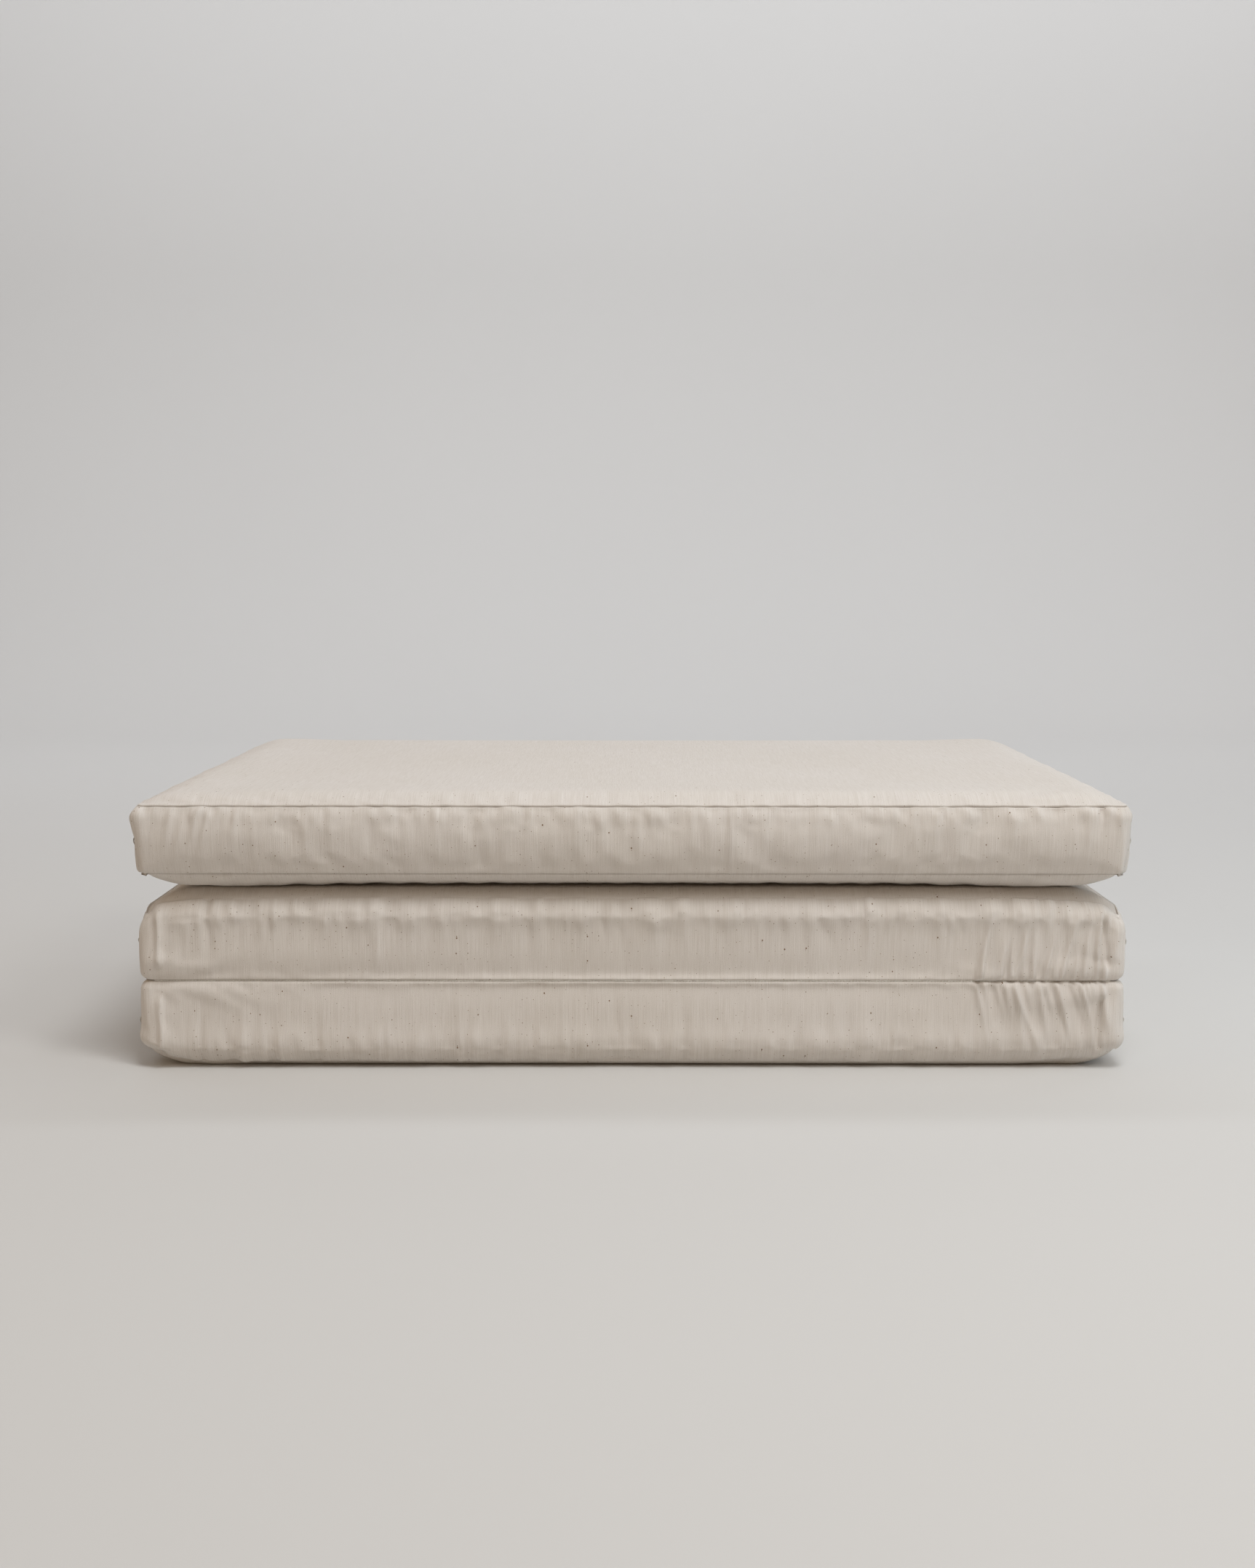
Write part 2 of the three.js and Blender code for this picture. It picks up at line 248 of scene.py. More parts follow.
def spaced(length, first, growth, coarse, wide=None):
    """Places along a length. The gaps start at first, grow with the distance from the nearer end
    up to coarse, and far from both ends widen to wide: equal shares of the sum of 1 / gap."""
    fine = np.linspace(0, length, 8001)
    near = np.minimum(fine, length - fine)
    gap = np.minimum(first + growth * near, coarse)
    if wide:
        gap = gap + (wide - coarse) * np.clip((near - 0.16) / 0.05, 0, 1)
    total = np.append(0, np.cumsum(np.diff(fine) / (0.5 * (gap[1:] + gap[:-1]))))
    return np.interp(np.linspace(0, total[-1], int(np.ceil(total[-1])) + 1), total, fine)


def fibre_material(name, colour, scale, depth):
    """Tangled short fibres: noise stretched by a second noise, as colour and as bump."""
    material = bpy.data.materials.new(name)
    material.use_nodes = True
    tree = material.node_tree
    shader = tree.nodes["Principled BSDF"]
    shader.inputs["Roughness"].default_value = 0.95
    shader.inputs["Specular IOR Level"].default_value = 0.15
    place = tree.nodes.new("ShaderNodeTexCoord")
    noise = tree.nodes.new("ShaderNodeTexNoise")
    noise.inputs["Scale"].default_value = scale
    noise.inputs["Detail"].default_value = 8
    noise.inputs["Distortion"].default_value = 2.5
    tint = tree.nodes.new("ShaderNodeValToRGB")
    tint.color_ramp.elements[0].position = 0.3
    tint.color_ramp.elements[0].color = (*[c * 0.78 for c in colour], 1)
    tint.color_ramp.elements[1].position = 0.7
    tint.color_ramp.elements[1].color = (*colour, 1)
    bump = tree.nodes.new("ShaderNodeBump")
    bump.inputs["Distance"].default_value = depth
    tree.links.new(place.outputs["Object"], noise.inputs["Vector"])
    tree.links.new(noise.outputs["Fac"], tint.inputs["Fac"])
    tree.links.new(tint.outputs["Color"], shader.inputs["Base Color"])
    tree.links.new(noise.outputs["Fac"], bump.inputs["Height"])
    tree.links.new(bump.outputs["Normal"], shader.inputs["Normal"])
    return material


def batting_layer(panel, side):
    """A layer on a grid over its plan. The outer skin follows the crown of its face a little
    inside the cloth and comes down to the mid height in a quarter ellipse at the rim; the inner
    skin lies at the mid height and rises over the core."""
    out = 1 if side == "over" else -1
    middle = 0.5 * (panel["under"]["level"] + panel["over"]["level"])
    wide, deep = 2 * (panel["half"] - BATTING_IN), panel["back"] - panel["front"] - 2 * BATTING_IN
    across, along = (spaced(size, 0.0015, 0.22, 0.014) for size in (wide, deep))
    x, y = (across - wide / 2)[:, None], (along + panel["front"] + BATTING_IN)[None]
    near = np.minimum(across, wide - across)[:, None], np.minimum(along, deep - along)[None]
    rim = np.prod([np.sqrt(1 - ramp(e, BATTING_RIM, 1) ** 2) + 0 * x * y for e in near], axis=0)
    fall = face_fall(panel, panel[side], x, y - panel["front"], panel["back"] - y)
    tall = abs(panel[side]["level"] - middle) - fall - BATTING_IN
    low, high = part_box(f"{panel['name']}_core")
    inside = [np.clip((p - a + 0.012) / 0.012, 0, 1) * np.clip((b - p + 0.012) / 0.012, 0, 1)
              for p, a, b in ((x, low.x, high.x), (y, low.y, high.y))]
    hollow = (0.5 * (high.z - low.z) + 0.0008) * inside[0] * inside[1]
    inner = np.minimum(0.0005 + hollow, 0.8 * tall) * rim
    skins = [np.stack(np.broadcast_arrays(x, y, middle + out * z), axis=-1) for z in (tall * rim, inner)]
    index = np.arange(skins[0][..., 0].size).reshape(skins[0].shape[:2])
    under = index + index.size
    for edge in (np.s_[0], np.s_[-1], np.s_[:, 0], np.s_[:, -1]):
        under[edge] = index[edge]
    points = np.concatenate([skin.reshape(-1, 3) for skin in skins])
    faces = np.concatenate([grid_faces(index), grid_faces(under.T)])
    if side == "under":
        faces = faces[:, ::-1]
    used, faces = np.unique(faces, return_inverse=True)
    return points[used], faces.reshape(-1, 4)


batting = fibre_material("cotton_batting_fibres", BATTING, 90, 0.002)
felt = fibre_material("core_felt", CORE_FELT, 220, 0.001)
for panel in PANELS:
    for side in ("under", "over"):
        layer = make_mesh(f"{panel['name']}_batting_layer_{side}", *batting_layer(panel, side))
        layer.data.materials.append(batting)
        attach(layer, f"{panel['name']}_panel")
        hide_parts(f"{panel['name']}_batting_{side}")
    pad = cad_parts[f"{panel['name']}_core"]
    pad.data.materials.clear()
    pad.data.materials.append(felt)

# ---------------------------------------------------------------- casings
# Each slab is a casing of unbleached cotton: an upper and a lower cloth, joined by boxing bands
# with a plain inside seam. At the hinges a cloth wraps round the slab's edge instead, and is sewn
# to its neighbour. The filling pushes the bands out and the seams draw the cloth into puckers.
SHOULDER = 0.026          # where a cloth wraps round an edge
SEAM_LIP = 0.0020         # rounding beside a seam
HINGE_LIP = 0.0009        # rounding beside a hinge
HINGE_TUCK = 0.0012       # how far a hinge seam is drawn in
LOOSE_CUT = 0.012         # how much more cloth there is than the filling needs
LOOSE_PRESSURE = 4.0
LOOSE_BENDING = 0.35
LOOSE_CAP = 0.004         # the furthest that the filling moves the cloth
LOOSE_FRAMES = 20
LOOSE_ON_FACES = 0.15     # share of that move which is kept on the faces' middles
SEAM_DEPTHS = (0.0034, 0.0004, 0.0012)   # at a long seam, a hinge and an end seam
SEAM_HALF_WIDTH = 0.0009
SEAM_PAINTED_SHADES = ((1.0, 0.0010), (0.4, 0.0006), (0.2, 0.0009))   # how dark and wide the painted shade in each seam's groove is


def edge_radius(face, end):
    """The rounding of a face's front or back edge."""
    return {"shoulder": face.get("shoulder", SHOULDER), "seam": SEAM_LIP, "hinge": HINGE_LIP}[face[end]]


def weave_grid(panel, first, growth, column, wide, along, up):
    """The places of the columns, from the left end's edge round to the right end's, and the
    shares of a face's depth and of a wall's height at which the rows lie."""
    turn = panel["corner"] * np.pi / 2
    columns = spaced(2 * (panel["half"] - panel["corner"] + turn), first, growth, column, wide)
    depth, height = panel["back"] - panel["front"], panel["over"]["level"] - panel["under"]["level"]
    spans = (depth, along), (height, up)
    return columns, *(spaced(size, first, growth, gap) / size for size, gap in spans)


def column_line(panel, columns):
    """The line that the columns follow, a quarter circle, a straight run and a quarter circle:
    each one's x, its inset from the front and back, its outward turn, and how far it is from
    the end seam."""
    corner = panel["corner"]
    near = np.minimum(columns, columns[-1] - columns)
    side = np.where(columns < columns[-1] / 2, -1, 1)
    turn = np.clip(np.pi / 2 - near / corner, 0, None)
    straight = np.clip(near - corner * np.pi / 2, 0, None)
    x = side * (panel["half"] - corner - straight + corner * np.sin(turn))
    return x, corner * (1 - np.cos(turn)), side * turn, near


def face_wall(panel, side, share, line):
    """An upper or lower face, from the front corner's middle to the back corner's: two eighth
    circles with a straight run between them, lowered by the face's fall and drawn in at a hinge."""
    x, inset, angle, near = (column[:, None] for column in line)
    face, out = panel[side], 1 if side == "over" else -1
    front, back = edge_radius(face, "front"), edge_radius(face, "back")
    arc = np.pi / 4 * front, np.pi / 4 * back
    y0, y1 = panel["front"] + inset, panel["back"] - inset
    length = y1 - y0 - front - back + sum(arc)
    d = share[None] * length
    turn = np.clip(arc[0] - d, 0, None) / front, np.clip(arc[1] - (length - d), 0, None) / back
    run = y0 + front + np.clip(d, arc[0], length - arc[1]) - arc[0]
    y = run - front * np.sin(turn[0]) + back * np.sin(turn[1])
    drop = front * (1 - np.cos(turn[0])) + back * (1 - np.cos(turn[1]))
    fall = face_fall(panel, face, x, run - y0 - front, y1 - back - run)
    z = face["level"] - out * (fall + drop)
    seam, hinge = 0 * d + 1, 0 * d + 1
    for kind, distance, way in ((face["front"], d, 1), (face["back"], length - d, -1)):
        if kind == "seam":
            seam = np.minimum(seam, distance)
        if kind == "hinge":
            hinge = np.minimum(hinge, distance)
            y = y + way * HINGE_TUCK * ramp(distance, 0.030, 2)
    if side == "under":
        y = y + panel["lean"] * ramp(d, 0.050, 2)
    return x + 0 * y, y, z, seam, hinge, near + 0 * d


def bulged(shape, share):
    """How far a wall stands out at a share of its height: full between two heights, easing to
    its edges as powers."""
    low, high, deep = shape
    up = 1 - np.clip(1 - share / low, 0, 1) ** 2.4
    down = 1 - np.clip(1 - (1 - share) / high, 0, 1) ** 2.4
    return deep * up * down


def upright_wall(panel, end, share, line):
    """A front or back wall, from the lower corner's middle up to the upper corner's: two eighth
    circles with a bulged run between them, drawn in at a hinge."""
    x, inset, angle, near = (column[:, None] for column in line)
    kinds = panel["under"][end], panel["over"][end]
    away, out = ((0.0, 1.0), -1) if end == "front" else ((1.0, 0.0), 1)
    low = panel["under"]["level"] + face_fall(panel, panel["under"], x, *away)
    high = panel["over"]["level"] - face_fall(panel, panel["over"], x, *away)
    under, over = edge_radius(panel["under"], end), edge_radius(panel["over"], end)
    arc = np.pi / 4 * under, np.pi / 4 * over
    length = high - low - under - over + sum(arc)
    d = share[None] * length
    turn = np.clip(arc[0] - d, 0, None) / under, np.clip(arc[1] - (length - d), 0, None) / over
    run = low + under + np.clip(d, arc[0], length - arc[1]) - arc[0]
    z = run - under * np.sin(turn[0]) + over * np.sin(turn[1])
    level = (z - low) / (high - low)
    turned = np.abs(np.sin(angle))
    broad = bulged(panel["bulge"][end], level)
    if end == "front":
        broad = broad + np.clip(-(x + 0.10) / 0.25, 0, 1) * (bulged(panel["bulge"]["left"], level) - broad)
    deep = (1 - turned) * broad + turned * bulged(panel["bulge"]["end"], level)
    deep = deep - under * (1 - np.cos(turn[0])) - over * (1 - np.cos(turn[1]))
    seam, hinge = 0 * d + 1, 0 * d + 1
    for kind, distance in zip(kinds, (d, length - d)):
        if kind == "seam":
            seam = np.minimum(seam, distance)
        if kind == "hinge":
            hinge = np.minimum(hinge, distance)
            deep = deep - HINGE_TUCK * ramp(distance, 0.030, 2)
    if end == "front":
        deep = deep - panel["lean"] * ramp(level, 0.8, 1.6)
    y = panel[end] + out * (deep * np.cos(angle) - inset)
    return x + deep * np.sin(angle), y, z, seam, hinge, near + 0 * d


def blended_patch(bottom, top, front, back, along, up):
    """A patch between four edges: the two pairs of opposite edges are each blended, added, and
    the blend of the four corners is taken away."""
    u, v = along[None, :, None], up[:, None, None]
    pairs = (1 - v) * bottom[None] + v * top[None] + (1 - u) * front[:, None] + u * back[:, None]
    low = (1 - u) * bottom[0] + u * bottom[-1]
    high = (1 - u) * top[0] + u * top[-1]
    return pairs - (1 - v) * low - v * high


def casing_surface(panel, columns, along, up):
    """Four walls in one closed loop, carried along the columns, and a cap at each end. Gives the
    corners with their distances to a long seam, a hinge and an end seam, the faces, and the
    corner numbers of the loop and of the two caps as grids."""
    line = column_line(panel, columns)
    walls = [face_wall(panel, "over", along, line), upright_wall(panel, "back", up[::-1], line),
             face_wall(panel, "under", along[::-1], line), upright_wall(panel, "front", up, line)]
    channels = [np.concatenate([wall[k][:, :-1] for wall in walls], axis=1) for k in range(6)]
    loop = np.stack(channels, axis=-1)
    index = np.arange(loop.shape[0] * loop.shape[1]).reshape(loop.shape[:2])
    points = [loop.reshape(-1, 6)]
    faces = [grid_faces(np.concatenate([index, index[:, :1]], axis=1))]
    marks = np.cumsum([0, len(along) - 1, len(up) - 1, len(along) - 1, len(up) - 1])
    caps = []
    for column in (0, -1):
        ring = np.append(index[column], index[column, 0])
        top, back, bottom, front = (ring[a:b + 1] for a, b in zip(marks[:-1], marks[1:]))
        cap = np.zeros((len(up), len(along)), dtype=int)
        cap[-1], cap[0], cap[:, 0], cap[:, -1] = top, bottom[::-1], front, back[::-1]
        patch = blended_patch(*(points[0][k] for k in (cap[0], cap[-1], cap[:, 0], cap[:, -1])), along, up)
        run, rise = patch[..., 1], patch[..., 2]
        patch[..., 3:5] = 1
        edges = [rise - rise[:1], rise[-1:] - rise, run - run[:, :1], run[:, -1:] - run]
        patch[..., 5] = np.minimum.reduce(edges)
        start = sum(len(p) for p in points)
        inner = patch[1:-1, 1:-1].reshape(-1, 6)
        cap[1:-1, 1:-1] = start + np.arange(len(inner)).reshape(len(up) - 2, -1)
        points.append(inner)
        faces.append(grid_faces(cap if column == 0 else cap.T))
        caps.append(cap)
    return np.concatenate(points), np.concatenate(faces), index, caps


def outward(points, faces):
    """Unit normals at the corners: the sum of the crossed diagonals of the faces that meet there."""
    a, b, c, d = (points[faces[:, k]] for k in range(4))
    normal = np.cross(c - a, d - b)
    total = np.zeros_like(points)
    for axis in range(3):
        for k in range(4):
            total[:, axis] += np.bincount(faces[:, k], normal[:, axis], len(points))
    return total / np.maximum(np.linalg.norm(total, axis=1, keepdims=True), 1e-12)


def settled(points, faces, seams):
    """How far a casing's corners move when it is cut a little loose and filled: cloth pinned
    along its seams under a light pressure from inside, for some frames, with each move capped."""
    cloth = make_mesh("unfilled_casing", points, faces)
    pins = cloth.vertex_groups.new(name="seams")
    pins.add(np.flatnonzero(seams < 1e-6).tolist(), 1.0, "REPLACE")
    filling = cloth.modifiers.new("filling", "CLOTH")
    filling.settings.quality = 4
    filling.settings.mass = 0.25
    filling.settings.tension_stiffness = 12
    filling.settings.compression_stiffness = 12
    filling.settings.shear_stiffness = 4
    filling.settings.bending_stiffness = LOOSE_BENDING
    filling.settings.vertex_group_mass = "seams"
    filling.settings.use_pressure = True
    filling.settings.uniform_pressure_force = LOOSE_PRESSURE
    filling.settings.shrink_min = -LOOSE_CUT
    filling.settings.effector_weights.gravity = 0
    filling.point_cache.frame_start = 1
    filling.point_cache.frame_end = LOOSE_FRAMES
    for number in range(1, LOOSE_FRAMES + 1):
        scene.frame_set(number)
    moved = np.empty(points.size, dtype=np.float32)
    cloth.evaluated_get(bpy.context.evaluated_depsgraph_get()).data.vertices.foreach_get("co", moved)
    bpy.data.objects.remove(cloth)
    scene.frame_set(1)
    move = moved.reshape(-1, 3).astype(float) - points
    size = np.maximum(np.linalg.norm(move, axis=1, keepdims=True), 1e-9)
    return move * LOOSE_CAP * np.tanh(size / LOOSE_CAP) / size


def spline_weights(coarse, fine, ring=False):
    """Weights that carry values from coarse places to fine ones, a cubic B-spline in the coarse
    places' numbers: round a ring, whose last place is its first again, or with 0 at both ends."""
    count = len(coarse)
    number = np.arange(-1, count + 1)
    away = np.abs(np.interp(fine, coarse, np.arange(count))[:, None] - number)
    weights = np.where(away < 1, 2 / 3 - away ** 2 + away ** 3 / 2, np.clip(2 - away, 0, None) ** 3 / 6)
    if ring:
        total = np.zeros((len(fine), count - 1))
        np.add.at(total.T, number % (count - 1), weights.T)
        return total
    total = weights[:, 1:-1].copy()
    total[:, 1] -= weights[:, 0]
    total[:, -2] -= weights[:, -1]
    return total


def filled_out(panel, fine, index, caps, count):
    """The settled moves of a coarse casing, carried to the corners of the fine one."""
    coarse = weave_grid(panel, 0.0030, 0.25, 0.0085, None, 0.0095, 0.0065)
    points, faces, coarse_index, coarse_caps = casing_surface(panel, *coarse)
    move = settled(points[:, :3], faces, points[:, 3:].min(axis=1))
    loops = []
    for columns, along, up in (coarse, fine):
        rows = [along, 1 - up[::-1], 1 - along[::-1], up]
        loops.append(np.concatenate([k + row[:-1] for k, row in enumerate(rows)]))
    across = spline_weights(coarse[0], fine[0])
    around = spline_weights(np.append(loops[0], 4), loops[1], ring=True)
    carried = np.zeros((count, 3))
    for axis in range(3):
        carried[index.ravel(), axis] = (across @ move[coarse_index, axis] @ around.T).ravel()
    deep, tall = spline_weights(coarse[1], fine[1]), spline_weights(coarse[2], fine[2])
    for cap, coarse_cap in zip(caps, coarse_caps):
        for axis in range(3):
            patch = tall @ move[coarse_cap, axis] @ deep.T
            carried[cap[1:-1, 1:-1].ravel(), axis] = patch[1:-1, 1:-1].ravel()
    return carried


PUCKER_START = 0.0022     # over what distance from its seam a pucker rises


def ridges(place, distance, groups, seed):
    """Puckers that start at a seam: a sum of narrow swellings, each a bell across and along, that
    lean away from the seam and fade in over its first millimetres. A group is a count, the range
    of places, and the ranges of height, width, reach and slant."""
    draw = np.random.default_rng(seed)
    total = np.zeros_like(place)
    for count, places, heights, widths, reaches, slants in groups:
        astray = draw.uniform(-0.5, 0.5, count) * (places[1] - places[0]) / count
        spots = np.linspace(*places, count) + astray
        for spot in spots:
            height, width, reach, slant = (draw.uniform(*r) for r in (heights, widths, reaches, slants))
            across = (place - spot - slant * distance) / width
            total += height * np.exp(-across ** 2 - (distance / reach) ** 2)
    return total * (1 - np.exp(-np.clip(distance, 0, None) / PUCKER_START)) * (distance >= 0)


def waviness(place, seed, longest=0.30, shortest=0.06, count=9):
    """A slow wandering line: a sum of sines of random phase whose waves shorten in equal ratios."""
    draw = np.random.default_rng(seed)
    waves = np.geomspace(longest, shortest, count)
    phases = draw.uniform(0, 2 * np.pi, count)
    total = sum(np.sin(2 * np.pi * place / wave + phase) for wave, phase in zip(waves, phases))
    return total / np.sqrt(count)


# count, places, heights, widths, reaches, slants
LONG = (-0.49, 0.49)
STREAKS = (130, LONG, (-0.0019, 0.0015), (0.003, 0.008), (0.012, 0.050), (-0.12, 0.12))
FINE = (110, LONG, (-0.0008, 0.0006), (0.0020, 0.0032), (0.010, 0.032), (-0.18, 0.18))
SLIGHT = (70, LONG, (-0.0005, 0.0005), (0.003, 0.008), (0.010, 0.030), (-0.1, 0.1))
PUCKERS = {
    "top": {"upper": [
        STREAKS, FINE,
        (9, (-0.488, -0.395), (0.0014, 0.0034), (0.003, 0.006), (0.020, 0.055), (-0.45, -0.15)),
        (6, (0.448, 0.490), (0.0018, 0.0034), (0.0022, 0.004), (0.010, 0.022), (-0.25, 0.25)),
        (1, (0.098, 0.0981), (0.0020, 0.0021), (0.0016, 0.0017), (0.055, 0.056), (0.02, 0.03)),
    ], "lower": [SLIGHT]},
    "middle": {"upper": [STREAKS, FINE], "lower": [
        SLIGHT,
        (16, (0.348, 0.482), (0.0050, 0.0080), (0.0023, 0.0034), (0.026, 0.056), (0.02, 0.26)),
        (6, (0.36, 0.485), (0.0012, 0.0026), (0.0045, 0.0065), (0.050, 0.090), (0.15, 0.35)),
    ]},
    "bottom": {"upper": [
        SLIGHT,
        (16, (0.352, 0.478), (0.0028, 0.0050), (0.0022, 0.0034), (0.022, 0.050), (0.15, 0.40)),
        (7, (0.35, 0.48), (0.0012, 0.0028), (0.0045, 0.0070), (0.050, 0.090), (0.25, 0.50)),
    ], "lower": [STREAKS]},
}
PLAIN = [(110, LONG, (-0.0009, 0.0012), (0.003, 0.008), (0.010, 0.045), (-0.3, 0.3))]
END_PUCKERS = [(64, (-0.31, 0.31), (-0.0007, 0.0014), (0.003, 0.007), (0.008, 0.030), (-0.3, 0.3))]


def scalloped_roll(x, z, height, level, thick, seed):
    """A soft roll along a wall, a bell across the height, whose line jumps up and down in short
    uneven fingers where the cloth is gathered."""
    fingers = waviness(x, seed, 0.060, 0.013, 11) + 0.5 * waviness(x, seed + 50, 0.20, 0.08, 4)
    return height * (1 + 0.35 * waviness(x, seed + 90, 0.09, 0.02)) * np.exp(
        -((z - level - FINGER * fingers) / thick) ** 2)


# height, level and thickness of the rolls on the front walls
ROLLS = {"top": (0.0020, 0.2635, 0.0075),
         "middle": (0.0028, 0.1590, 0.0100),
         "bottom": (0.0018, 0.0290, 0.0110)}
FINGER = 0.0021           # how far a roll's fingers reach up and down
# of the upright ridge near the left end: inset, wander, height and width
LEFT_RIDGE = (0.016, 0.0005, 0.0046, 0.0036)
# of the upright fold near the right end: inset, sway, its radians in a metre, depth and width
RIGHT_FOLD = (0.018, 0.0035, 40, 0.0060, 0.0030)
DIMPLE = (0.0035, 0.009)  # depth and reach of the dimple that a tack draws in


def pucker_relief(panel, points, index, caps, along, up):
    """The height of the puckers over each wall and cap: those of its upper edge and those of its
    lower edge, and on the faces a narrow row beside each seam."""
    relief = np.zeros(len(points))
    depth, height = len(along) - 1, len(up) - 1
    seed = 10 * len(panel["name"])
    over, back = index[:, :depth + 1], index[:, depth:depth + height + 1]
    front = np.concatenate([index[:, -height:], index[:, :1]], axis=1)
    walls = (front, PUCKERS[panel["name"]]), (back, {"upper": PLAIN, "lower": PLAIN})
    for number, (wall, groups) in enumerate(walls):
        x, z = points[wall, 0], points[wall, 2]
        end = "back" if number else "front"
        low, high = z.min(axis=1, keepdims=True), z.max(axis=1, keepdims=True)
        low = low + 0.6 * edge_radius(panel["under"], end)
        high = high - 0.6 * edge_radius(panel["over"], end)
        relief[wall] += ridges(x, np.abs(high - z), groups["upper"], seed + number)
        relief[wall] += ridges(x, np.abs(z - low), groups["lower"], seed + number + 4)
    x, z = points[front, 0], points[front, 2]
    relief[front] += scalloped_roll(x, z, *ROLLS[panel["name"]], seed)
    if panel["name"] != "top":
        tall = np.clip((z - z.min() - 0.012) / 0.01, 0, 1) * np.clip((z.max() - 0.012 - z) / 0.01, 0, 1)
        inset, wander, rise, width = LEFT_RIDGE
        wave = wander * waviness(z, 3, 0.09, 0.03)
        left = rise * np.exp(-((x + panel["half"] - inset - wave) / width) ** 2)
        inset, sway, rate, drop, width = RIGHT_FOLD
        right = drop * np.exp(-((x - panel["half"] + inset + sway * np.sin(z * rate)) / width) ** 2)
        relief[front] += tall * (left - right)
    for side in (1, -1):
        x, y = points[over, 0], points[over, 1]
        from_end = np.abs(y - (panel["front"] if side == 1 else panel["back"]))
        if panel["over"]["front" if side == 1 else "back"] == "seam":
            relief[over] += ridges(x, from_end, PLAIN, seed + 8 + side) * 0.7
        relief[over] += ridges(y, panel["half"] - side * x, END_PUCKERS, seed + 12 + side) * 0.8
    for number, cap in enumerate(caps):
        y, z = points[cap, 1], points[cap, 2]
        for tack in (1, 2, 3):
            low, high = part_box(f"{panel['name']}_tack_{('left', 'right')[number]}_{tack}")
            away = np.hypot(y - 0.5 * (low.y + high.y), z - 0.5 * (low.z + high.z))
            relief[cap] -= DIMPLE[0] * np.exp(-(away / DIMPLE[1]) ** 1.3)
        relief[cap] += ridges(y, z[-1:] - z, END_PUCKERS, seed + 16 + number)
        relief[cap] += ridges(y, z - z[:1], END_PUCKERS, seed + 18 + number)
    return relief


